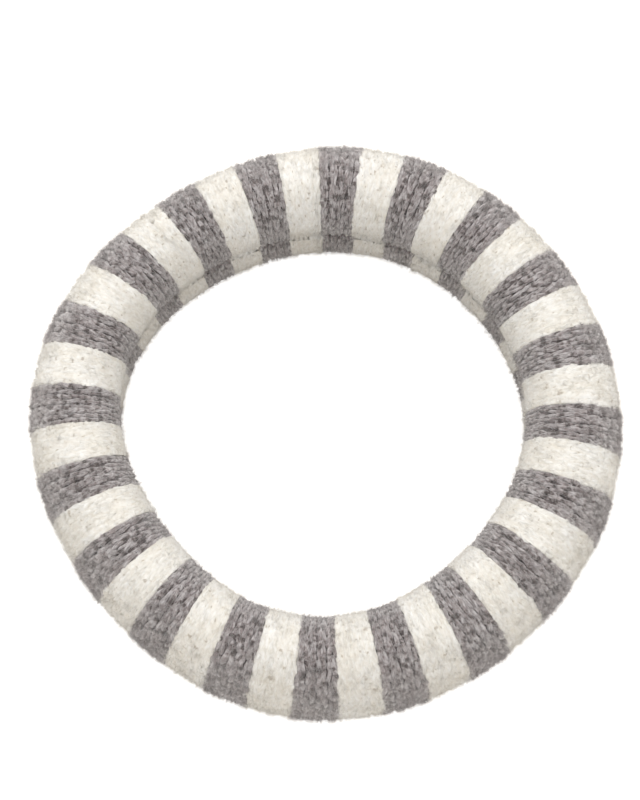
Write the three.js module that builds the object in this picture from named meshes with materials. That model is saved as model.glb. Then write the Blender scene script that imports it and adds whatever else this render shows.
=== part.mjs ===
// Striped knitted neck gaiter, lying flat as a ring.
//
// A long strip is knitted in forty bands of wool, grey and cream in turn. Its two long edges are
// sewn to each other over a soft fleece core, so it becomes a plump tube with the seam along the
// inside of the ring, and one course of yarn grafts the two ends of the tube together.
//
// Millimetres, +Z up. The origin is the middle of the ring, on the surface that it lies on.
// Angles round the ring are in degrees, clockwise from +Y seen from above. Angles round the
// tube's section start at the outer side, 0, and pass over the crown, 90, to the seam, 180.

import * as THREE from 'three';

// Driving sizes.
const ringRadius = 112; // from the middle of the ring to the middle of the tube
const tubeWidth = 44; // across the tube, level
const tubeHeight = 78; // the tube's height before its weight presses the underside flat
const tubeSquareness = 2.2; // power of the section's outline: 2 is an ellipse
const restPress = 2; // how much of that height the flat underside takes off
const knitThickness = 4; // the knitted wall
const stripePairs = 20; // one grey and one cream band each
const creaseDepth = 3.5; // how far the seam pulls the inner side in
const creaseSpread = 13; // degrees round the section that the pull reaches
const seamYarnDiameter = 2.4; // yarn that closes the lengthwise seam
const graftCourseWidth = 2.2; // the single course that joins the tube's ends
const clearance = 0.3; // between pieces that lie against each other
const fleeceEase = 0.5; // how far the fleece stays inside the wall, to follow its bends

// How the soft ring lies: slow waves of its middle line and of its width. Each has its number of
// waves round the ring, its height in millimetres and the angle of its first peak.
const middleWaves = [
  { count: 3, height: 1.3, peak: 51 },
  { count: 4, height: 1.3, peak: 8 },
];
const widthWaves = [
  { count: 1, height: 1.1, peak: 119 },
  { count: 2, height: 0.5, peak: 90 },
  { count: 3, height: 0.6, peak: 12 },
];

// How the bands lie on the ring, in degrees of the ring.
const stripeTurn = 2.4; // the whole pattern is turned by this much
const stripeWaves = [
  { count: 1, height: 3.2, peak: 79 }, // the bands are drawn together on one side of the ring
  { count: 2, height: 0.5, peak: 141 },
];
const bandLean = 3.4; // how far the bands lean over on the two flanks
const seamSlip = 1.3; // how far the seam's lower edge is sewn ahead of its upper edge
const seamSlipWave = 1.7; // how much that changes round the ring
const seamSlipPeak = 120; // where it is greatest

// Fineness of the solids.
const crownSteps = 14; // along the wall, from the outer side over the crown to the seam
const quarterSteps = 4; // along each lower quarter of the wall
const seamYarnSides = 8;
const seamYarnSteps = 80;

const middleHeight = tubeHeight / 2 - restPress;
const bandWidth = 180 / stripePairs;
const seamHalfGap = seamYarnDiameter / 2 + clearance;

const wool = (hex) => new THREE.MeshStandardMaterial({ color: hex, roughness: 0.95, metalness: 0 });
const greyWool = wool(0x918b8c);
const creamWool = wool(0xe6e1d8);
const fleece = wool(0x77716f);
const radians = THREE.MathUtils.degToRad;

function waves(list, angle) {
  const at = (wave) => wave.height * Math.cos(radians(wave.count * (angle - wave.peak)));
  return list.reduce((sum, wave) => sum + at(wave), 0);
}

function power(value, exponent) {
  return Math.sign(value) * Math.abs(value) ** exponent;
}

// The tube's outer outline at one angle of its section, as [outward, up] from its middle.
function outline(halfWidth, around) {
  const fromSeam = 180 - Math.abs(around);
  const pull = creaseDepth * Math.exp(-((fromSeam / creaseSpread) ** 2));
  const outward = halfWidth * power(Math.cos(radians(around)), 2 / tubeSquareness) + pull;
  const up = (tubeHeight / 2) * power(Math.sin(radians(around)), 2 / tubeSquareness);
  return [outward, Math.max(up, -middleHeight)];
}

// The same outline moved inwards by a depth, square to itself.
function insetOutline(halfWidth, around, depth) {
  const [outward, up] = outline(halfWidth, around);
  const before = outline(halfWidth, around - 0.5);
  const after = outline(halfWidth, around + 0.5);
  const run = [after[0] - before[0], after[1] - before[1]];
  const length = Math.hypot(run[0], run[1]);
  const moved = [outward - (depth * run[1]) / length, up + (depth * run[0]) / length];
  return [moved[0], Math.max(moved[1], depth - middleHeight)];
}

// The ring angle where a band edge lies. Its place in the pattern is in degrees before the
// pattern is turned, drawn together, leant over and sewn out of step along the seam.
function edgeAngle(pattern, around) {
  const level = pattern + stripeTurn + waves(stripeWaves, pattern);
  const lean = bandLean * Math.sin(radians(level)) * (1 - Math.sin(radians(around)));
  const slip = seamSlip + seamSlipWave * Math.cos(radians(level - seamSlipPeak));
  return level - lean + slip * Math.max(0, -around / 180);
}

// A point of the tube: inset below its surface, shifted along the ring from a band edge.
function tubePoint(pattern, around, depth, shift) {
  const angle = edgeAngle(pattern, around);
  const halfWidth = tubeWidth / 2 + waves(widthWaves, angle);
  const [outward, up] = insetOutline(halfWidth, around, depth);
  const radius = ringRadius + waves(middleWaves, angle) + outward;
  const turned = radians(angle) + shift / radius;
  return new THREE.Vector3(radius * Math.sin(turned), radius * Math.cos(turned), middleHeight + up);
}

// The angles round the section where the wall has its points, from the seam's lower edge round
// the outside to its upper edge. The flat underside falls between two of them.
function wallAngles() {
  const levelAt = (up) => Math.asin((up / (tubeHeight / 2)) ** (tubeSquareness / 2));
  const seamEdge = THREE.MathUtils.radToDeg(levelAt(seamHalfGap));
  const flatEdge = THREE.MathUtils.radToDeg(levelAt(middleHeight));
  const spread = (from, to, steps) => {
    return Array.from({ length: steps + 1 }, (_, i) => from + ((to - from) * i) / steps);
  };
  const innerSide = spread(seamEdge - 180, flatEdge - 180, quarterSteps);
  const outerSide = spread(-flatEdge, 0, quarterSteps);
  return [...innerSide, ...outerSide, ...spread(0, 180 - seamEdge, crownSteps).slice(1)];
}

// A closed solid from rings of points: every ring joins the next, and the first and last ring are
// closed by strips between the wall's outer and inner half, or join each other.
function solidFromRings(rings, joined) {
  const count = rings[0].length;
  const positions = rings.flat().flatMap((point) => point.toArray());
  const faces = [];
  const quad = (a, b, c, d) => faces.push(a, b, c, a, c, d);
  const last = joined ? rings.length : rings.length - 1;
  for (let ring = 0; ring < last; ring += 1) {
    const here = ring * count;
    const next = ((ring + 1) % rings.length) * count;
    for (let i = 0; i < count; i += 1) {
      const j = (i + 1) % count;
      quad(here + i, here + j, next + j, next + i);
    }
  }
  if (!joined) {
    const end = (rings.length - 1) * count;
    for (let i = 0; i + 1 < count / 2; i += 1) {
      const back = count - 1 - i;
      quad(i, back, back - 1, i + 1);
      quad(end + i, end + i + 1, end + back - 1, end + back);
    }
  }
  const geometry = new THREE.BufferGeometry();
  geometry.setAttribute('position', new THREE.Float32BufferAttribute(positions, 3));
  geometry.setIndex(faces);
  geometry.computeVertexNormals();
  return geometry;
}

function named(name, geometry, material) {
  const mesh = new THREE.Mesh(geometry, material);
  mesh.name = name;
  return mesh;
}

// A stretch of the knitted wall between two places in the pattern, open along the seam.
function knitted(name, from, to, startShift, endShift, material) {
  const angles = wallAngles();
  const crossSection = (pattern, shift) => [
    ...angles.map((around) => tubePoint(pattern, around, 0, shift)),
    ...angles.toReversed().map((around) => tubePoint(pattern, around, knitThickness, shift)),
  ];
  const ends = [crossSection(from, startShift), crossSection(to, endShift)];
  return named(name, solidFromRings(ends, false), material);
}

// The fleece that keeps the tube plump. It fills the wall on every side.
function fleeceCore() {
  const angles = wallAngles();
  const depth = knitThickness + fleeceEase;
  const rings = Array.from({ length: 2 * stripePairs }, (_, index) => {
    return angles.map((around) => tubePoint((index - 0.5) * bandWidth, around, depth, 0));
  });
  return named('fleece_core', solidFromRings(rings, true), fleece);
}

// The yarn that draws the strip's two long edges together, in the slot between them and close to
// the fleece.
function seamYarn() {
  const rings = Array.from({ length: seamYarnSteps }, (_, step) => {
    const angle = (360 * step) / seamYarnSteps;
    const halfWidth = tubeWidth / 2 + waves(widthWaves, angle);
    const inward = knitThickness - clearance - seamYarnDiameter / 2;
    const outward = outline(halfWidth, 180)[0] + inward;
    const middle = ringRadius + waves(middleWaves, angle) + outward;
    return Array.from({ length: seamYarnSides }, (_, side) => {
      const turn = radians((360 * side) / seamYarnSides);
      const radius = middle + (seamYarnDiameter / 2) * Math.cos(turn);
      const height = middleHeight + (seamYarnDiameter / 2) * Math.sin(turn);
      const [x, y] = [Math.sin(radians(angle)), Math.cos(radians(angle))];
      return new THREE.Vector3(radius * x, radius * y, height);
    });
  });
  return named('seam_yarn', solidFromRings(rings, true), creamWool);
}

// The first grey band is centred on the start of the pattern, and the graft lies just before it.
function knittedBands() {
  const bands = [];
  for (let index = 0; index < 2 * stripePairs; index += 1) {
    const isGrey = index % 2 === 0;
    const number = String(Math.floor(index / 2) + 1).padStart(2, '0');
    const isLast = index === 2 * stripePairs - 1;
    const endShift = isLast ? -(graftCourseWidth + clearance * 1.5) : -clearance / 2;
    const [colour, material] = isGrey ? ['grey', greyWool] : ['cream', creamWool];
    const from = (index - 0.5) * bandWidth;
    const to = from + bandWidth;
    bands.push(knitted(`${colour}_band_${number}`, from, to, clearance / 2, endShift, material));
  }
  return bands;
}

function graftCourse() {
  const edge = -bandWidth / 2;
  const startShift = -(graftCourseWidth + clearance / 2);
  return knitted('graft_course', edge, edge, startShift, -clearance / 2, creamWool);
}

const gaiter = new THREE.Group();
gaiter.add(fleeceCore(), ...knittedBands(), graftCourse(), seamYarn());

// The waves leave the ring a little to one side, so it is set back over its own middle.
const box = new THREE.Box3().setFromObject(gaiter);
const middle = box.getCenter(new THREE.Vector3());
gaiter.position.set(-middle.x, -middle.y, -box.min.z);

export default gaiter;
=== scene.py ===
import math

import bpy
import numpy as np
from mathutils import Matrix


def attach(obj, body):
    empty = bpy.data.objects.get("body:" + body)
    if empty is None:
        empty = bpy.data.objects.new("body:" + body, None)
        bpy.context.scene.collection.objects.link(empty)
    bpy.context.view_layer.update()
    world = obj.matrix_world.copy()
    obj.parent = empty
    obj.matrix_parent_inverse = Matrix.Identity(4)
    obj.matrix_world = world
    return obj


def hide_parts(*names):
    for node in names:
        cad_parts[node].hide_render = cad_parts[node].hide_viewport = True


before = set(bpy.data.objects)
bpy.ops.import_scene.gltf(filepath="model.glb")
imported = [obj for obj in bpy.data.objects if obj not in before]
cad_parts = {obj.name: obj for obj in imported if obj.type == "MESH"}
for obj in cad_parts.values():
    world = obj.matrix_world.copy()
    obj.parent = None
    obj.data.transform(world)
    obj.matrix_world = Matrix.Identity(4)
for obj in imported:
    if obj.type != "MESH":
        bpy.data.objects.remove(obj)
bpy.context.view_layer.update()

# ---- How the ring lies ---------------------------------------------------------------------
# The gaiter is a long knitted strip whose two long edges are sewn together over a soft core, so
# it is a plump tube. Its ends are grafted into a ring that lies flat: its weight presses the
# underside level, and the soft ring keeps slow waves. Sizes repeat those of the frame's solids.
MM = 0.001
RING_RADIUS = 112 * MM
TUBE_WIDTH = 44 * MM
TUBE_HEIGHT = 78 * MM
TUBE_SQUARENESS = 2.2  # power of the section's outline: 2 is an ellipse
REST_PRESS = 2 * MM  # how much of its height the ring's weight takes off
MIDDLE_HEIGHT = TUBE_HEIGHT / 2 - REST_PRESS
RING_OFFSET = (-0.05 * MM, 1.27 * MM)  # from the origin to the middle of the ring
CREASE_DEPTH = 3.5 * MM  # how far the seam pulls the inner side in
CREASE_SPREAD = 13.0  # degrees round the section that the pull reaches
UNDER_TUCK = 2 * MM  # how far the wall below the seam is tucked under the wall above it

# Each wave: how many go round the ring, its height, and the ring angle of its first peak.
MIDDLE_WAVES = [(3, 1.3 * MM, 51), (4, 1.3 * MM, 8)]
WIDTH_WAVES = [(1, 1.1 * MM, 119), (2, 0.5 * MM, 90), (3, 0.6 * MM, 12)]

# How the bands lie on the ring, in degrees of the ring.
STRIPE_PAIRS = 20
BAND_DEGREES = 180 / STRIPE_PAIRS
STRIPE_TURN = 2.4  # the whole pattern is turned by this much
STRIPE_WAVES = [(1, 3.2, 79), (2, 0.5, 141)]
BAND_LEAN = 3.4  # how far the bands lean over on the two flanks
SEAM_SLIP = 1.3  # how far the seam's lower edge is sewn ahead of its upper edge
SEAM_SLIP_WAVE = 1.7  # how much that changes round the ring
SEAM_SLIP_PEAK = 120  # where it is greatest


def waves(listing, angle):
    """The sum of cosine waves at ring angles in degrees."""
    return sum(height * np.cos(np.radians(count * (angle - peak))) for count, height, peak in listing)


def power(value, exponent):
    return np.sign(value) * np.abs(value) ** exponent


def outline(half_width, around):
    """The tube's section, outward and up from its middle, at angles round it in degrees."""
    from_seam = 180 - np.abs(around)
    pull = CREASE_DEPTH * np.exp(-((from_seam / CREASE_SPREAD) ** 2))
    tuck = UNDER_TUCK * np.sin(2 * np.radians(around + 180)) * ((around > -180) & (around < -90))
    outward = half_width * power(np.cos(np.radians(around)), 2 / TUBE_SQUARENESS) + pull + tuck
    up = TUBE_HEIGHT / 2 * power(np.sin(np.radians(around)), 2 / TUBE_SQUARENESS)
    return outward, np.maximum(up, -MIDDLE_HEIGHT)


def inset_outline(half_width, around, depth):
    """The same section moved inwards by a depth, square to itself."""
    outward, up = outline(half_width, around)
    before = outline(half_width, around - 0.5)
    after = outline(half_width, around + 0.5)
    run = (after[0] - before[0], after[1] - before[1])
    length = np.hypot(run[0], run[1])
    inset_up = up + depth * run[0] / length
    return outward - depth * run[1] / length, np.maximum(inset_up, depth - MIDDLE_HEIGHT)


def ring_angle(pattern, around):
    """Where a place in the stripe pattern lies on the ring, in degrees clockwise from +Y."""
    level = pattern + STRIPE_TURN + waves(STRIPE_WAVES, pattern)
    lean = BAND_LEAN * np.sin(np.radians(level)) * (1 - np.sin(np.radians(around)))
    slip = SEAM_SLIP + SEAM_SLIP_WAVE * np.cos(np.radians(level - SEAM_SLIP_PEAK))
    return level - lean + slip * np.maximum(0, -around / 180)


def ring_points(angle, around, depth):
    """Points of the tube's wall at ring angles, section angles and depths below its surface."""
    half_width = TUBE_WIDTH / 2 + waves(WIDTH_WAVES, angle)
    outward, up = inset_outline(half_width, around, depth)
    radius = RING_RADIUS + waves(MIDDLE_WAVES, angle) + outward
    turned = np.radians(angle)
    x = radius * np.sin(turned) + RING_OFFSET[0]
    y = radius * np.cos(turned) + RING_OFFSET[1]
    return np.stack([x, y, MIDDLE_HEIGHT + up], axis=-1)


def unit(vectors):
    return vectors / np.maximum(np.linalg.norm(vectors, axis=-1, keepdims=True), 1e-12)


# ---- Knitted bands of wool -----------------------------------------------------------------
# Forty bands of four ribs each, in thick brushed wool. The ribs are columns of long knit
# stitches that run round the tube, with the yarn sunk behind between them, so every band has
# straight edges. Each band is one length of yarn, worked to and fro from edge to edge.
RIBS_PER_BAND = 4
STITCHES_PER_RIB = 32
STITCH_REACH = 0.97  # half a stitch's length along its rib, in stitch spacings
STITCH_SPREAD = 0.22  # how far a stitch's two legs swell apart at its head, in rib widths
LEG_PAIRING = 0.05  # how far they lean to each other, so that a groove opens between ribs
# For each colour: the yarn's thickness, how far stitch heads lie behind the legs, how deep the
# matted fibres lie that fill the knitting, and the curled and short loose fibres of a stitch.
# The cream wool is the fuller and softer one.
WOOLS = {
    "grey": (2.05 * MM, 1.1 * MM, 1.4 * MM, 44, 34),
    "cream": (2.6 * MM, 1.0 * MM, 0.7 * MM, 34, 34),
}
# The wool fills out where the ribs spread, on the outer side of the ring, and its nap is rubbed
# away on the inner side: powers of the distance from the middle, for thickness and for nap.
FILLING_OUT = {"grey": (1.6, 5), "cream": (0.8, 2)}
EDGE_OVERLAP = 0.25 * MM  # how far the way of the yarn reaches over a band's edge
EDGE_MARGIN = 0.3 * MM  # how near to the seam it comes
# How uneven the hand of the knitter is.
REACH_UNEVENNESS = 0.09  # of a stitch's length, as a share of it
PLACE_UNEVENNESS = 0.8 * MM  # of its place along the rib
WIDTH_UNEVENNESS = 0.09  # of its place across the rib, in rib widths
YARN_UNEVENNESS = 0.12  # of the yarn's thickness, as a share of it
DEPTH_UNEVENNESS = 0.3 * MM  # of how deep the yarn lies
STEPS_PER_STITCH = 12
YARN_SIDES = 6
YARN_ROUND = 2.2 * math.pi  # millimetres of pattern round a yarn
MAT_ROWS = 200
MAT_COLUMNS = 20
MAT_UNEVENNESS = 0.14 * MM
PLIES = 3
PLY_GROOVE = 0.09
PLY_TURN = 15 * MM
SKIN_UNEVENNESS = 0.03
LOCK_LENGTH = 3 * MM  # the loose fibres stand in locks of about this length
# For curled and for short fibres: the length, the most lift off the yarn and the scatter.
CURLED = (3.0 * MM, 1.6, 0.85)
SHORT = (1.8 * MM, 0.8, 0.45)
LONGEST_SHARE = 1.6  # no fibre is longer than this share of its kind's length
FIBRE_THICKNESS = 0.1 * MM  # drawn about four times as thick as wool, so that it shows
RESTING_HEIGHT = 3 * MM  # below this the wall lies on the table, which keeps its fibres flat
FLOOR_GAP = 0.1 * MM

# The way round the wall, from the seam's lower edge under and over to its upper edge, by length.
SEAM_HALF_GAP = 1.5 * MM
SEAM_EDGE = math.degrees(math.asin((SEAM_HALF_GAP / (TUBE_HEIGHT / 2)) ** (TUBE_SQUARENESS / 2)))
WALL_AROUND = np.linspace(SEAM_EDGE - 180, 180 - SEAM_EDGE, 6001)
wall_section = np.stack(outline(TUBE_WIDTH / 2, WALL_AROUND), axis=-1)
wall_steps = np.linalg.norm(np.diff(wall_section, axis=0), axis=1)
WALL_RUN = np.concatenate([[0], np.cumsum(wall_steps)])
WALL_LENGTH = WALL_RUN[-1]
STITCH_SPACING = WALL_LENGTH / STITCHES_PER_RIB


def around_at(run):
    """The section angle at a distance along the wall from the seam's lower edge."""
    return np.interp(run, WALL_RUN, WALL_AROUND)


def drift(rng, places, spacing, size):
    """Smooth random values of about the given size along places."""
    knots = rng.normal(0, size, int(places.max() / spacing) + 3)
    at = places / spacing
    left = np.floor(at).astype(int)
    blend = at - left
    blend = blend * blend * (3 - 2 * blend)
    return knots[left] * (1 - blend) + knots[left + 1] * blend


def course_path(rng, colour, start, end, rib_shifts, middle):
    """One course across a band: pattern places, run along the wall, depths and thickness."""
    yarn_thickness, stitch_depth = WOOLS[colour][:2]
    ribs = len(rib_shifts)
    stitch = np.arange(ribs * STEPS_PER_STITCH + 1) / STEPS_PER_STITCH
    turn = 2 * np.pi * (stitch - 0.5)
    reach = STITCH_REACH * STITCH_SPACING * (1 + drift(rng, stitch, 0.5, REACH_UNEVENNESS))
    along = middle + np.interp(stitch, np.arange(ribs) + 0.5, rib_shifts)
    along = along - reach * np.cos(turn) + drift(rng, stitch, 0.7, PLACE_UNEVENNESS)
    along = np.clip(along, EDGE_MARGIN, WALL_LENGTH - EDGE_MARGIN)
    across = stitch + STITCH_SPREAD * np.sin(2 * turn) - LEG_PAIRING * np.sin(turn)
    across = across + drift(rng, stitch, 0.4, WIDTH_UNEVENNESS)
    rib_width = (end - start) / ribs
    over = math.degrees(EDGE_OVERLAP / RING_RADIUS)
    pattern = start - over + across / ribs * (end - start + 2 * over)
    crowding = math.sqrt(min(1.0, rib_width * RIBS_PER_BAND / BAND_DEGREES))
    thickness = yarn_thickness * crowding * (1 + drift(rng, stitch, 0.4, YARN_UNEVENNESS))
    depth = thickness / 2 + stitch_depth * (1 + np.cos(2 * turn)) / 2
    depth = depth + np.abs(drift(rng, stitch, 0.5, DEPTH_UNEVENNESS))
    return pattern, along, depth, thickness


def band_path(rng, colour, start, end, ribs):
    """The yarn of one band: its courses in turn, with the yarn turned back at the edges."""
    parts = []
    rib_shifts = rng.uniform(-0.5, 0.5, ribs) * STITCH_SPACING
    for course in reversed(range(STITCHES_PER_RIB)):
        path = course_path(rng, colour, start, end, rib_shifts, (course + 0.5) * STITCH_SPACING)
        if course % 2:
            path = tuple(values[::-1] for values in path)
        if parts:
            last = [values[-1] for values in parts[-1]]
            share = np.array([0.25, 0.5, 0.75])
            parts.append(tuple(a + (b[0] - a) * share for a, b in zip(last, path)))
        parts.append(path)
    pattern, along, depth, thickness = (np.concatenate(values) for values in zip(*parts))
    return pattern, along, depth, thickness


def yarn_frame(pattern, run, depth):
    """Points of a yarn's middle line, with its direction, its outward, its sideways and the
    way that the ribs run."""
    around = around_at(run)
    angle = ring_angle(pattern, around)
    path = ring_points(angle, around, depth)
    # A point a little nearer the surface shows which way is outward.
    outer = ring_points(angle, around, depth - 0.6 * MM)
    forward = unit(np.gradient(path, axis=0))
    sideways = unit(np.cross(forward, unit(outer - path)))
    ribwise = unit(ring_points(ring_angle(pattern, around + 0.5), around + 0.5, depth) - path)
    return path, forward, np.cross(sideways, forward), sideways, ribwise


def yarn_skin(rng, path, outward, sideways, thickness):
    """The plied yarn's skin as points in rings, and how far along the yarn each ring is."""
    rings = len(path)
    steps = np.linalg.norm(np.diff(path, axis=0), axis=1)
    run = np.concatenate([[0], np.cumsum(steps)])
    turn = 2 * np.pi * np.arange(YARN_SIDES) / YARN_SIDES
    ply = 1 + PLY_GROOVE * np.cos(PLIES * (turn[None, :] - 2 * np.pi * run[:, None] / PLY_TURN))
    ply = ply * (1 + rng.normal(0, SKIN_UNEVENNESS, (rings, YARN_SIDES)))
    reach = (thickness[:, None] / 2 * ply)[..., None]
    out = np.cos(turn)[None, :, None] * outward[:, None, :]
    side = np.sin(turn)[None, :, None] * sideways[:, None, :]
    return path[:, None, :] + reach * (out + side), run


# Each mesh also carries a flat map of itself, in rows: the yarn is cut into strips, and the loose
# fibres and the matted ones have rows of their own.
BAKE_STRIPS = 16
FIBRE_ROW = BAKE_STRIPS
MAT_ROW = FIBRE_ROW + 1
MAT_BAKE_ROWS = 3
BAKE_ROWS = MAT_ROW + MAT_BAKE_ROWS
FIBRE_CELLS = 256


def within(share, margin):
    """A share from 0 to 1, drawn in by a margin at both ends."""
    return margin + (1 - 2 * margin) * share


def bake_place(ring, rings, side):
    """Where a point of the yarn's skin lies in the flat map."""
    per_strip = math.ceil(rings / BAKE_STRIPS)
    strip = np.minimum(ring[..., :1] // per_strip, BAKE_STRIPS - 1)
    along = (ring - strip * per_strip) / (per_strip + 1)
    across = (strip + within(side / YARN_SIDES, 0.08)) / BAKE_ROWS
    return np.stack([within(along, 0.005), across], axis=-1)


def skin_faces(rings, run):
    """Four-sided faces of the skin, with their places on the yarn in millimetres and in the
    flat map."""
    ring = np.arange(rings - 1)[:, None, None]
    side = np.arange(YARN_SIDES)[None, :, None]
    ring_corner = ring + np.array([0, 0, 1, 1])[None, None, :]
    side_corner = side + np.array([0, 1, 1, 0])[None, None, :]
    corners = ring_corner * YARN_SIDES + side_corner % YARN_SIDES
    ring_corner, side_corner = np.broadcast_arrays(ring_corner, side_corner)
    ring_corner = ring_corner.reshape(-1, 4)
    side_corner = side_corner.reshape(-1, 4)
    yarn_map = np.stack([run[ring_corner] / MM, side_corner / YARN_SIDES * YARN_ROUND], axis=-1)
    return corners.reshape(-1, 4), yarn_map, bake_place(ring_corner, rings, side_corner)


def loose_fibres(rng, lay, thickness, front, nap, resting, count, kind):
    """Loose wool fibres off the yarn's outer side, tapering from root to tip: their points, the
    ring of the yarn where each is rooted, the place in the yarn's pattern that gives it its
    shade, and the corners of its four-sided and three-sided faces."""
    whole_length, most_lift, scatter = kind
    curled = kind is CURLED
    path, forward, outward, sideways, ribwise = lay
    steps = np.linalg.norm(np.diff(path, axis=0), axis=1)
    run = np.concatenate([[0], np.cumsum(steps)])
    # They stand in locks, mostly on the legs of the stitches, and hardly where the wall rests.
    locks = np.exp(drift(rng, run, LOCK_LENGTH, 0.7))
    odds = np.cumsum((0.12 + front) * nap * locks * np.where(resting, 0.15, 1.0))
    ring = np.clip(np.searchsorted(odds, rng.uniform(0, odds[-1], count)), 1, len(path) - 2)
    turn = rng.normal(0, 0.95, count)
    away = np.cos(turn)[:, None] * outward[ring] + np.sin(turn)[:, None] * sideways[ring]
    root = path[ring] + away * (thickness[ring] * 0.42)[:, None]
    root = root + forward[ring] * rng.uniform(-0.9 * MM, 0.9 * MM, (count, 1))
    # The brush lays them along the ribs, one way or the other.
    brushed = ribwise[ring] * rng.choice([-0.9, 0.9], (count, 1))
    brushed = brushed + forward[ring] * rng.choice([-0.4, 0.4], (count, 1))
    lift = outward[ring] * rng.uniform(0.1, most_lift, (count, 1))
    start = unit(brushed + lift + rng.normal(0, scatter, (count, 3)))
    length = whole_length * np.minimum(rng.gamma(6, 1 / 6, (count, 1)), LONGEST_SHARE)
    fall = outward[ring] * rng.uniform(-0.2, 0.8, (count, 1))
    bend = unit(start - fall + rng.normal(0, 0.5, (count, 3)))
    middle = root + start * length * 0.5
    tip = middle + bend * length * 0.5 if curled else root + start * length
    across = unit(np.cross(start, rng.normal(0, 1, (count, 3))))
    other = np.cross(start, across)
    # A curled fibre bends once in the middle. Both kinds are three-sided and end in a point.
    thick = FIBRE_THICKNESS / 2 * rng.uniform(0.6, 1.4, (count, 1))
    corners = []
    for centre, width in ((root, 1.0), (middle, 0.8)) if curled else ((root, 1.0),):
        for third in range(3):
            angle = 2 * np.pi * third / 3
            rim = math.cos(angle) * across + math.sin(angle) * other
            corners.append(centre + thick * width * rim)
    points = np.stack(corners + [tip], axis=1)
    if curled:
        quads = np.array([[0, 1, 4, 3], [1, 2, 5, 4], [2, 0, 3, 5]])
        triangles = np.array([[3, 4, 6], [4, 5, 6], [5, 3, 6], [0, 2, 1]])
    else:
        quads = np.zeros((0, 4), int)
        triangles = np.array([[0, 1, 3], [1, 2, 3], [2, 0, 3], [0, 2, 1]])
    first = len(corners + [tip]) * np.arange(count)[:, None, None]
    shade = np.stack([run[ring] / MM, turn % (2 * np.pi) / (2 * np.pi) * YARN_ROUND], axis=1)
    shade = shade + rng.normal(0, 0.35, (count, 2))
    return points, ring, shade, quads[None] + first, triangles[None] + first


def fibre_maps(fibres, shade, corners_of_faces):
    """The places of the fibres' face corners in the yarn's pattern, one shade to each fibre, and
    in their row of the flat map, from root to tip."""
    count, faces, corners = corners_of_faces.shape
    per_fibre = fibres.shape[1]
    yarn_map = np.broadcast_to(shade[:, None, None, :], (count, faces, corners, 2))
    level = (corners_of_faces % per_fibre) / (per_fibre - 1)
    cell = np.arange(count)[:, None, None] % FIBRE_CELLS
    u = (cell + within((corners_of_faces % per_fibre % 3) / 2, 0.2)) / FIBRE_CELLS
    v = (FIBRE_ROW + within(level, 0.1)) / BAKE_ROWS
    return yarn_map.reshape(-1, 2), np.stack(np.broadcast_arrays(u, v), axis=-1).reshape(-1, 2)


def wool_mesh(name, points, quads, triangles, quad_maps, triangle_maps, loose=None, lay=None):
    """A mesh from four-sided and three-sided faces with their places on the yarn and in the flat
    map. For each point, loose says how far it stands off the yarn, which the material turns into
    painted shade and painted light, and lay where it is on the wall, in millimetres."""
    points = points.copy()
    points[:, 2] = np.maximum(points[:, 2], FLOOR_GAP)
    mesh = bpy.data.meshes.new(name)
    corners = np.concatenate([quads.ravel(), triangles.ravel()]).astype(np.int32)
    starts = np.concatenate([
        np.arange(len(quads)) * 4,
        len(quads) * 4 + np.arange(len(triangles)) * 3,
    ]).astype(np.int32)
    mesh.vertices.add(len(points))
    mesh.loops.add(len(corners))
    mesh.polygons.add(len(starts))
    mesh.vertices.foreach_set("co", points.astype(np.float32).ravel())
    mesh.loops.foreach_set("vertex_index", corners)
    mesh.polygons.foreach_set("loop_start", starts)
    mesh.update(calc_edges=True)
    mesh.polygons.foreach_set("use_smooth", np.ones(len(starts), bool))
    for map_name, of_quads, of_triangles in zip(("yarn", "OFBake"), quad_maps, triangle_maps):
        layer = mesh.uv_layers.new(name=map_name)
        places = np.concatenate([of_quads.reshape(-1, 2), of_triangles.reshape(-1, 2)])
        layer.data.foreach_set("uv", places.astype(np.float32).ravel())
    if loose is not None:
        values = mesh.attributes.new("loose", "FLOAT", "POINT")
        values.data.foreach_set("value", loose.astype(np.float32))
        values = mesh.attributes.new("place", "FLOAT_VECTOR", "POINT")
        lay = np.concatenate([lay, np.zeros((len(lay), 1))], axis=1)
        values.data.foreach_set("vector", lay.astype(np.float32).ravel())
    return mesh


def matted_ground(rng, start, end, depth):
    """The matted fibres between the stitches of a band: points, corners of faces and maps."""
    row, column = np.meshgrid(np.arange(MAT_ROWS + 1), np.arange(MAT_COLUMNS + 1), indexing="ij")
    inset = math.degrees(0.15 * MM / RING_RADIUS)
    pattern = start + inset + (end - start - 2 * inset) * column / MAT_COLUMNS
    run = 0.6 * MM + (WALL_LENGTH - 1.2 * MM) * row / MAT_ROWS
    around = around_at(run)
    uneven = depth + rng.normal(0, MAT_UNEVENNESS, row.shape)
    points = ring_points(ring_angle(pattern, around), around, uneven)
    lay = np.stack([run, np.radians(pattern) * RING_RADIUS], axis=-1) / MM
    row = np.arange(MAT_ROWS)[:, None, None] + np.array([0, 0, 1, 1])
    column = np.arange(MAT_COLUMNS)[None, :, None] + np.array([0, 1, 1, 0])
    row, column = (part.reshape(-1, 4) for part in np.broadcast_arrays(row, column))
    place = np.stack([row * 0.8, column * 0.7], axis=-1)
    bake = np.stack([
        within(row / MAT_ROWS, 0.005),
        (MAT_ROW + MAT_BAKE_ROWS * within(column / MAT_COLUMNS, 1 / 30)) / BAKE_ROWS,
    ], axis=-1)
    return points.reshape(-1, 3), lay.reshape(-1, 2), row * (MAT_COLUMNS + 1) + column, place, bake


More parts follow.
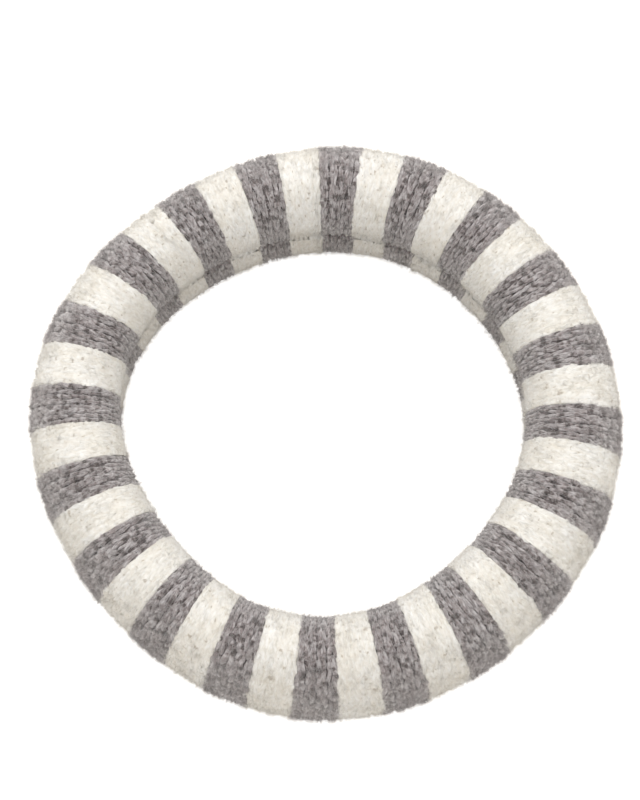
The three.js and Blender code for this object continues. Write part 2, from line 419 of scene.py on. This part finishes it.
def knitted_mesh(name, rng, colour, start, end, ribs):
    """A band's yarn with its loose and its matted fibres as one mesh."""
    pattern, run_along, depth, thickness = band_path(rng, colour, start, end, ribs)
    yarn_thickness, stitch_depth, mat_depth, curled_fibres, short_fibres = WOOLS[colour]
    lay = yarn_frame(pattern, run_along, depth)
    path, _, outward, sideways, _ = lay
    spread = np.hypot(path[:, 0], path[:, 1]) / RING_RADIUS
    fuller, hairier = FILLING_OUT[colour]
    thickness = thickness * spread ** fuller
    nap = spread ** hairier
    points, run = yarn_skin(rng, path, outward, sideways, thickness)
    rings = len(path)
    quads, yarn_map, bake_map = skin_faces(rings, run)
    side = np.arange(YARN_SIDES)
    after = (side + 1) % YARN_SIDES
    end_ring = (rings - 1) * YARN_SIDES
    first, last = rings * YARN_SIDES, rings * YARN_SIDES + 1
    caps = np.concatenate([
        np.stack([np.full(YARN_SIDES, first), after, side], axis=1),
        np.stack([np.full(YARN_SIDES, last), end_ring + side, end_ring + after], axis=1),
    ])
    cap_yarn = np.repeat([[run[0] / MM, 0.0], [run[-1] / MM, 0.0]], YARN_SIDES * 3, axis=0)
    cap_ring = np.repeat([[0], [rings - 1]], YARN_SIDES * 3, axis=0)
    cap_bake = bake_place(cap_ring, rings, np.zeros((len(cap_ring), 1)))[:, 0]
    all_points = [points.reshape(-1, 3), path[[0, -1]]]
    all_quads, all_triangles = [quads], [caps]
    quad_maps = [[yarn_map.reshape(-1, 2)], [bake_map.reshape(-1, 2)]]
    triangle_maps = [[cap_yarn], [cap_bake]]
    # The yarn's loose value of 0.5 blends the painted shade of the hollows with the painted light of
    # the loose fibres.
    loose = [np.full(rings * YARN_SIDES + 2, 0.5)]
    place = np.stack([run_along, np.radians(pattern) * RING_RADIUS], axis=1) / MM
    places = [np.repeat(place, YARN_SIDES, axis=0), place[[0, -1]]]
    front = np.clip(1 - (depth - yarn_thickness / 2) / stitch_depth, 0, 1)
    resting = path[:, 2] < RESTING_HEIGHT
    stitches = (rings - 1) / STEPS_PER_STITCH
    for kind, per_stitch in ((CURLED, curled_fibres), (SHORT, short_fibres)):
        count = round(per_stitch * stitches)
        hair, hair_ring, shade, hair_quads, hair_triangles = loose_fibres(
            rng, lay, thickness, front, nap, resting, count, kind)
        base = sum(len(part) for part in all_points)
        for faces, listing, maps in ((hair_quads, all_quads, quad_maps),
                                     (hair_triangles, all_triangles, triangle_maps)):
            hair_yarn, hair_bake = fibre_maps(hair, shade, faces)
            listing.append(faces.reshape(-1, faces.shape[2]) + base)
            maps[0].append(hair_yarn)
            maps[1].append(hair_bake)
        all_points.append(hair.reshape(-1, 3))
        # Fibres are painted paler from root to tip, a painted highlight.
        loose.append(np.tile(np.linspace(0.75, 1.0, hair.shape[1]), count))
        places.append(np.repeat(place[hair_ring], hair.shape[1], axis=0))
    mat, mat_places, mat_quads, mat_map, mat_bake = matted_ground(rng, start, end, mat_depth)
    all_quads.append(mat_quads + sum(len(part) for part in all_points))
    all_points.append(mat)
    quad_maps[0].append(mat_map.reshape(-1, 2))
    quad_maps[1].append(mat_bake.reshape(-1, 2))
    # The matted ground gets 0: the full painted shade of the hollows between stitches.
    loose.append(np.zeros(len(mat)))
    places.append(mat_places)
    return wool_mesh(
        name,
        np.concatenate(all_points),
        np.concatenate(all_quads),
        np.concatenate(all_triangles),
        [np.concatenate(part) for part in quad_maps],
        [np.concatenate(part) for part in triangle_maps],
        np.concatenate(loose),
        np.concatenate(places),
    )


def linear(hex_colour):
    """An sRGB hex colour as linear RGBA."""
    parts = [int(hex_colour[i:i + 2], 16) / 255 for i in (1, 3, 5)]
    return [c / 12.92 if c <= 0.04045 else ((c + 0.055) / 1.055) ** 2.4 for c in parts] + [1.0]


def add_node(tree, kind, settings=None, inputs=None):
    """Adds a node: settings are its own properties, and inputs are values or sockets to link."""
    node = tree.nodes.new(kind)
    for name, value in (settings or {}).items():
        setattr(node, name, value)
    for name, value in (inputs or {}).items():
        socket = next(s for s in node.inputs if s.name == name and s.enabled)
        if isinstance(value, bpy.types.NodeSocket):
            tree.links.new(value, socket)
        else:
            socket.default_value = value
    return node


def set_ramp(node, stops):
    """Gives a colour ramp its stops: place and sRGB hex colour."""
    ramp = node.color_ramp
    while len(ramp.elements) > 1:
        ramp.elements.remove(ramp.elements[-1])
    ramp.elements[0].position, ramp.elements[0].color = stops[0][0], linear(stops[0][1])
    for place, colour in stops[1:]:
        ramp.elements.new(place).color = linear(colour)
    return node


def wool(name, streak_and_hollow_shades, loose_shades, lock_and_slit_shades, drift_shades, sheen, sheen_colour):
    """Brushed woollen yarn: the tones of its carded fibres, whose dark end is also painted shade for
    the hollows between stitches; of the loose ones, painted paler as if lit from all sides; of whole
    locks from dark to light, whose darkest dips are painted shade of slits between stitches; its
    slow drift, and its sheen."""
    material = bpy.data.materials.new(name)
    material.use_nodes = True
    tree = material.node_tree
    tree.nodes.clear()
    yarn = add_node(tree, "ShaderNodeUVMap", {"uv_map": "yarn"})
    # Dark and light fibres lie along the yarn in streaks 3.5 mm long and 2 mm wide.
    streaks = add_node(tree, "ShaderNodeMapping", None, {
        "Vector": yarn.outputs["UV"], "Scale": (0.28, 0.5, 1.0), "Rotation": (0, 0, 0.12)})
    fibre = add_node(tree, "ShaderNodeTexNoise", {"noise_dimensions": "2D"}, {
        "Vector": streaks.outputs["Vector"], "Scale": 1.0, "Detail": 3.0, "Roughness": 0.6})
    # These tones are darker than the yarn shows: the matted ground takes them whole, as painted shade
    # in the hollows between stitches, and the yarn takes them half mixed with the paler ones.
    streak_and_hollow_shade = set_ramp(add_node(tree, "ShaderNodeValToRGB", None, {
        "Fac": fibre.outputs["Fac"]}), streak_and_hollow_shades)
    # The blend of fleeces drifts along the yarn every 15 mm or so.
    place = add_node(tree, "ShaderNodeTexCoord")
    slow = add_node(tree, "ShaderNodeTexNoise", None, {
        "Vector": place.outputs["Object"], "Scale": 70.0, "Detail": 2.0})
    slow_shade = set_ramp(add_node(tree, "ShaderNodeValToRGB", None, {
        "Fac": slow.outputs["Fac"]}), drift_shades)
    # A loose fibre is lit from all sides, so it looks paler than the yarn that it comes from.
    loose_shade = set_ramp(add_node(tree, "ShaderNodeValToRGB", None, {
        "Fac": fibre.outputs["Fac"]}), loose_shades)
    # The loose value picks painted shade or light: 0 on the matted ground gives the dark tones whole as
    # painted shade, 0.5 on the yarn a blend, and 0.75 to 1 from root to tip of a loose fibre the pale
    # tones as painted light.
    loose = add_node(tree, "ShaderNodeAttribute", {"attribute_name": "loose"})
    spun = add_node(tree, "ShaderNodeMix", {"data_type": "RGBA"}, {
        "Factor": loose.outputs["Fac"],
        "A": streak_and_hollow_shade.outputs["Color"], "B": loose_shade.outputs["Color"]})
    # The brush draws the fibres into locks along the ribs, about 3.5 mm long and 1.2 mm wide.
    # Each lock has a tone of its own, and the darkest dips are painted shade of the slits between
    # stitches.
    lay = add_node(tree, "ShaderNodeAttribute", {"attribute_name": "place"})
    locks = add_node(tree, "ShaderNodeMapping", None, {
        "Vector": lay.outputs["Vector"], "Scale": (0.28, 0.8, 1.0)})
    lock = add_node(tree, "ShaderNodeTexNoise", {"noise_dimensions": "2D"}, {
        "Vector": locks.outputs["Vector"], "Scale": 1.0, "Detail": 1.0, "Roughness": 0.6})
    lock_and_slit_shade = set_ramp(add_node(tree, "ShaderNodeValToRGB", None, {
        "Fac": lock.outputs["Fac"]}), lock_and_slit_shades)
    spun = add_node(tree, "ShaderNodeMix", {"data_type": "RGBA", "blend_type": "MULTIPLY"}, {
        "Factor": 1.0, "A": spun.outputs["Result"], "B": lock_and_slit_shade.outputs["Color"]})
    colour = add_node(tree, "ShaderNodeMix", {"data_type": "RGBA", "blend_type": "MULTIPLY"}, {
        "Factor": 1.0, "A": spun.outputs["Result"], "B": slow_shade.outputs["Color"]})
    # Single hairs lift the surface of the yarn. They are drawn 0.12 mm wide, about four times as
    # wide as wool, so that they show.
    hairs = add_node(tree, "ShaderNodeMapping", None, {
        "Vector": yarn.outputs["UV"], "Scale": (0.5, 8.0, 1.0), "Rotation": (0, 0, 0.2)})
    hair = add_node(tree, "ShaderNodeTexNoise", {"noise_dimensions": "2D"}, {
        "Vector": hairs.outputs["Vector"], "Scale": 1.0, "Detail": 2.0})
    bump = add_node(tree, "ShaderNodeBump", None, {
        "Height": hair.outputs["Fac"], "Strength": 0.5, "Distance": 0.0002})
    shader = add_node(tree, "ShaderNodeBsdfPrincipled", None, {
        "Base Color": colour.outputs["Result"], "Normal": bump.outputs["Normal"],
        "Roughness": 0.95, "IOR": 1.5, "Specular IOR Level": 0.15,
        "Sheen Weight": sheen, "Sheen Roughness": 0.6, "Sheen Tint": linear(sheen_colour)})
    add_node(tree, "ShaderNodeOutputMaterial", None, {"Surface": shader.outputs["BSDF"]})
    return material


# Heathered grey: dark and light fleeces carded together, so single fibres show against others.
# Its darkest carded tones are painted shade for the hollows between stitches, and its darkest
# lock tone is painted shade of slits between them.
grey_wool = wool("heathered_grey_wool",
                 [(0.36, "#3c3331"), (0.48, "#584e4c"), (0.62, "#766c6b")],
                 [(0.36, "#a69e9d"), (0.50, "#cdc6c5"), (0.62, "#f6f3f2")],
                 [(0.34, "#7a6f6a"), (0.45, "#e2dbd9"), (0.58, "#ffffff")],
                 [(0.35, "#f2efef"), (0.65, "#ffffff")], 1.0, "#f8f6f5")
# Undyed cream: pale, so that light passes from fibre to fibre and its hollows stay bright.
# Its darkest lock tone is painted shade of small holes between stitches.
cream_wool = wool("undyed_cream_wool",
                  [(0.36, "#e6e1d8"), (0.5, "#efebe4"), (0.64, "#f6f4ef")],
                  [(0.36, "#efece7"), (0.5, "#f4f2ee"), (0.64, "#f9f8f6")],
                  [(0.22, "#cfc8c0"), (0.29, "#fbfaf8"), (0.60, "#ffffff")],
                  [(0.35, "#f9f7f3"), (0.65, "#ffffff")], 0.6, "#fffdf8")


def add_piece(name, mesh, material, slot, *nodes):
    """Puts a piece in the scene, riding on the body, for these solids of the frame."""
    mesh.materials.append(material)
    piece = bpy.data.objects.new(name, mesh)
    bpy.context.scene.collection.objects.link(piece)
    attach(piece, "root")
    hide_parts(*nodes)
    return piece


GRAFT_WIDTH = 2.65 * MM  # the graft course with its gaps takes this much of the last band
GRAFT_DEGREES = math.degrees(GRAFT_WIDTH / RING_RADIUS)
for index in range(2 * STRIPE_PAIRS):
    rng = np.random.default_rng(100 + index)
    is_grey = index % 2 == 0
    is_last = index == 2 * STRIPE_PAIRS - 1
    number = f"{index // 2 + 1:02d}"
    start = (index - 0.5) * BAND_DEGREES
    end = start + BAND_DEGREES - (GRAFT_DEGREES if is_last else 0)
    ribs = RIBS_PER_BAND - (1 if is_last else 0)
    colour = "grey" if is_grey else "cream"
    mesh = knitted_mesh(f"{colour}_knit_{number}", rng, colour, start, end, ribs)
    piece = add_piece(f"{colour}_knit_{number}", mesh, grey_wool if is_grey else cream_wool,
                      f"{colour}_wool", f"{colour}_band_{number}")

# ---- Graft course --------------------------------------------------------------------------
# One narrow rib of the cream yarn joins the tube's two ends stitch by stitch, worked with a
# needle after the knitting. It is tighter than the knitted ribs beside it.
rng = np.random.default_rng(71)
edge = -0.5 * BAND_DEGREES
mesh = knitted_mesh("graft_stitches", rng, "cream", edge - GRAFT_DEGREES, edge, 1)
piece = add_piece("graft_stitches", mesh, cream_wool, "cream_wool", "graft_course")

# ---- Seam yarn -----------------------------------------------------------------------------
# The strip's two long edges are laced together along the inside of the ring with one length of
# plain cream yarn, passed through the edge stitches from side to side and drawn tight.
SEAM_YARN_THICKNESS = 1.7 * MM
SEAM_STITCH = 5.5 * MM
SEAM_STEPS = 10
SEAM_RADIUS = 93.5 * MM
SEAM_DEPTH = 3.0 * MM  # how far the yarn lies behind the wall's outer side
SEAM_DIP = 0.7 * MM  # how far it goes in and out as it passes from side to side
SEAM_REACH = 2.2 * MM  # how far it reaches up and down into the two edges
SEAM_SLANT = 0.55  # degrees of the ring that it leads and lags

rng = np.random.default_rng(72)
stitches = round(2 * math.pi * SEAM_RADIUS / SEAM_STITCH)
stitch = np.arange(stitches * SEAM_STEPS) / SEAM_STEPS
angle = 360 * stitch / stitches
half_width = TUBE_WIDTH / 2 + waves(WIDTH_WAVES, angle)
sway = np.sin(2 * np.pi * stitch)
inner = outline(half_width, np.full_like(angle, 180.0))[0]
radius = RING_RADIUS + waves(MIDDLE_WAVES, angle) + inner
radius = radius + SEAM_DEPTH + SEAM_DIP * np.cos(4 * np.pi * stitch)
height = MIDDLE_HEIGHT + SEAM_REACH * sway
turned = np.radians(angle + SEAM_SLANT * np.sin(4 * np.pi * stitch))
path = np.stack([
    radius * np.sin(turned) + RING_OFFSET[0],
    radius * np.cos(turned) + RING_OFFSET[1],
    height,
], axis=-1)
inward = unit(np.stack([-np.sin(turned), -np.cos(turned), np.zeros_like(turned)], axis=-1))
forward = unit(np.roll(path, -1, axis=0) - np.roll(path, 1, axis=0))
sideways = unit(np.cross(forward, inward))
outward = np.cross(sideways, forward)
# The yarn ends where it begins, so its last ring is its first one again.
path_ring, outward, sideways = (np.concatenate([v, v[:1]]) for v in (path, outward, sideways))
thickness = np.full(len(path_ring), SEAM_YARN_THICKNESS)
points, run = yarn_skin(rng, path_ring, outward, sideways, thickness)
quads, yarn_map, bake_map = skin_faces(len(path_ring), run)
quads = quads % (len(path) * YARN_SIDES)
none = np.zeros((0, 3), int)
mesh = wool_mesh("seam_lacing", points[:-1].reshape(-1, 3), quads, none,
                 [yarn_map, bake_map], [np.zeros((0, 2)), np.zeros((0, 2))])
# The same cream wool, but smooth, so its surface shows the yarn's own streaks and no nap.
# Having no loose value, the seam takes the darker carded tones whole, the painted hollow shade.
seam_wool = cream_wool.copy()
seam_wool.name = "plain_cream_seam_wool"
piece = add_piece("seam_lacing", mesh, seam_wool, "seam_wool", "seam_yarn")

# ---- Fleece core ---------------------------------------------------------------------------
# A soft roll of polyester fleece fills the knitted tube and keeps it plump. It is laid in before
# the seam is closed, and the knitting hides it.
KNIT_THICKNESS = 4 * MM
FLEECE_EASE = 0.2 * MM  # how far the fleece stays inside the knitting
FLEECE_NAP = 0.12 * MM
CORE_RINGS = 480
CORE_SIDES = 96

rng = np.random.default_rng(73)
ring_share = np.arange(CORE_RINGS) / CORE_RINGS
side_share = np.arange(CORE_SIDES) / CORE_SIDES
angle, run_along = np.meshgrid(360 * ring_share, WALL_LENGTH * side_share, indexing="ij")
nap = rng.normal(0, FLEECE_NAP, angle.shape)
points = ring_points(angle, around_at(run_along), KNIT_THICKNESS + FLEECE_EASE + nap)
ring = np.arange(CORE_RINGS)[:, None, None]
side = np.arange(CORE_SIDES)[None, :, None]
ring_corner = ring + np.array([0, 1, 1, 0])[None, None, :]
side_corner = side + np.array([0, 0, 1, 1])[None, None, :]
quads = (ring_corner % CORE_RINGS) * CORE_SIDES + side_corner % CORE_SIDES
ring_corner, side_corner = np.broadcast_arrays(ring_corner, side_corner)
bake_map = np.stack([ring_corner / CORE_RINGS, side_corner / CORE_SIDES], axis=-1)
mesh = wool_mesh("fleece_filling", points.reshape(-1, 3), quads.reshape(-1, 4), none,
                 [bake_map, bake_map], [np.zeros((0, 2)), np.zeros((0, 2))])


def napped_fleece(name):
    """Brushed polyester fleece: a matt nap of short curled fibres in small tufts."""
    material = bpy.data.materials.new(name)
    material.use_nodes = True
    tree = material.node_tree
    tree.nodes.clear()
    place = add_node(tree, "ShaderNodeTexCoord")
    # Tufts of the nap are about 1.2 mm across.
    tufts = add_node(tree, "ShaderNodeTexNoise", None, {
        "Vector": place.outputs["Object"], "Scale": 800.0, "Detail": 4.0, "Roughness": 0.65})
    shade = set_ramp(add_node(tree, "ShaderNodeValToRGB", None, {
        "Fac": tufts.outputs["Fac"]}), [(0.35, "#b3aaa0"), (0.65, "#cfc7bd")])
    bump = add_node(tree, "ShaderNodeBump", None, {
        "Height": tufts.outputs["Fac"], "Strength": 0.7, "Distance": 0.0006})
    shader = add_node(tree, "ShaderNodeBsdfPrincipled", None, {
        "Base Color": shade.outputs["Color"], "Normal": bump.outputs["Normal"],
        "Roughness": 1.0, "IOR": 1.5, "Specular IOR Level": 0.1,
        "Sheen Weight": 0.3, "Sheen Roughness": 0.6})
    add_node(tree, "ShaderNodeOutputMaterial", None, {"Surface": shader.outputs["BSDF"]})
    return material


piece = add_piece("fleece_filling", mesh, napped_fleece("napped_grey_fleece"), "fleece", "fleece_core")

# ---- Floor, light and camera ---------------------------------------------------------------
# The ring lies on a plain white table in a bright white room, under one broad soft lamp.
scene = bpy.context.scene
scene.view_settings.view_transform = "Standard"
scene.view_settings.look = "None"

mesh = bpy.data.meshes.new("table_top")
TABLE_REACH = 6.0
table_corners = [(x * TABLE_REACH, y * TABLE_REACH, 0) for x, y in ((-1, -1), (1, -1), (1, 1), (-1, 1))]
mesh.from_pydata(table_corners, [], [(0, 1, 2, 3)])
floor = bpy.data.objects.new("table_top", mesh)
scene.collection.objects.link(floor)
# White laminate: it shows white, while the ring gets back from it only what a matt top gives.
material = bpy.data.materials.new("white_laminate")
material.use_nodes = True
tree = material.node_tree
tree.nodes.clear()
matt = add_node(tree, "ShaderNodeBsdfDiffuse", None, {"Color": linear("#c2bbb0")})
glow = add_node(tree, "ShaderNodeEmission", None, {"Color": (1, 1, 1, 1), "Strength": 0.95})
both = add_node(tree, "ShaderNodeAddShader")
tree.links.new(matt.outputs["BSDF"], both.inputs[0])
tree.links.new(glow.outputs["Emission"], both.inputs[1])
seen = add_node(tree, "ShaderNodeLightPath")
choice = add_node(tree, "ShaderNodeMixShader", None, {"Fac": seen.outputs["Is Camera Ray"]})
tree.links.new(matt.outputs["BSDF"], choice.inputs[1])
tree.links.new(both.outputs["Shader"], choice.inputs[2])
add_node(tree, "ShaderNodeOutputMaterial", None, {"Surface": choice.outputs["Shader"]})
mesh.materials.append(material)

world = bpy.data.worlds.new("white_room")
world.use_nodes = True
tree = world.node_tree
tree.nodes.clear()
sky = add_node(tree, "ShaderNodeBackground", None, {
    "Color": (1.0, 1.0, 1.0, 1.0), "Strength": 1.09})
add_node(tree, "ShaderNodeOutputWorld", None, {"Surface": sky.outputs["Background"]})
scene.world = world

light = bpy.data.lights.new("soft_lamp", "AREA")
light.shape = "DISK"
light.size = 1.4
light.energy = 10.0
lamp = bpy.data.objects.new("soft_lamp", light)
lamp.location = (-0.2, 1.3, 1.6)
lamp.rotation_euler = (math.radians(-39), math.radians(-5), 0)
scene.collection.objects.link(lamp)

CAMERA_DISTANCE = 1.344
CAMERA_ELEVATION = math.radians(71.43)
camera_data = bpy.data.cameras.new("camera")
camera_data.sensor_width = 36
camera_data.lens = 131.0
camera_data.shift_x = -0.0071
camera_data.shift_y = 0.0336
camera_data.clip_start = 0.01
camera = bpy.data.objects.new("camera", camera_data)
camera.location = (
    RING_OFFSET[0],
    RING_OFFSET[1] - CAMERA_DISTANCE * math.cos(CAMERA_ELEVATION),
    MIDDLE_HEIGHT + CAMERA_DISTANCE * math.sin(CAMERA_ELEVATION),
)
camera.rotation_euler = (math.pi / 2 - CAMERA_ELEVATION, 0, 0)
scene.collection.objects.link(camera)
scene.camera = camera

bpy.context.view_layer.update()
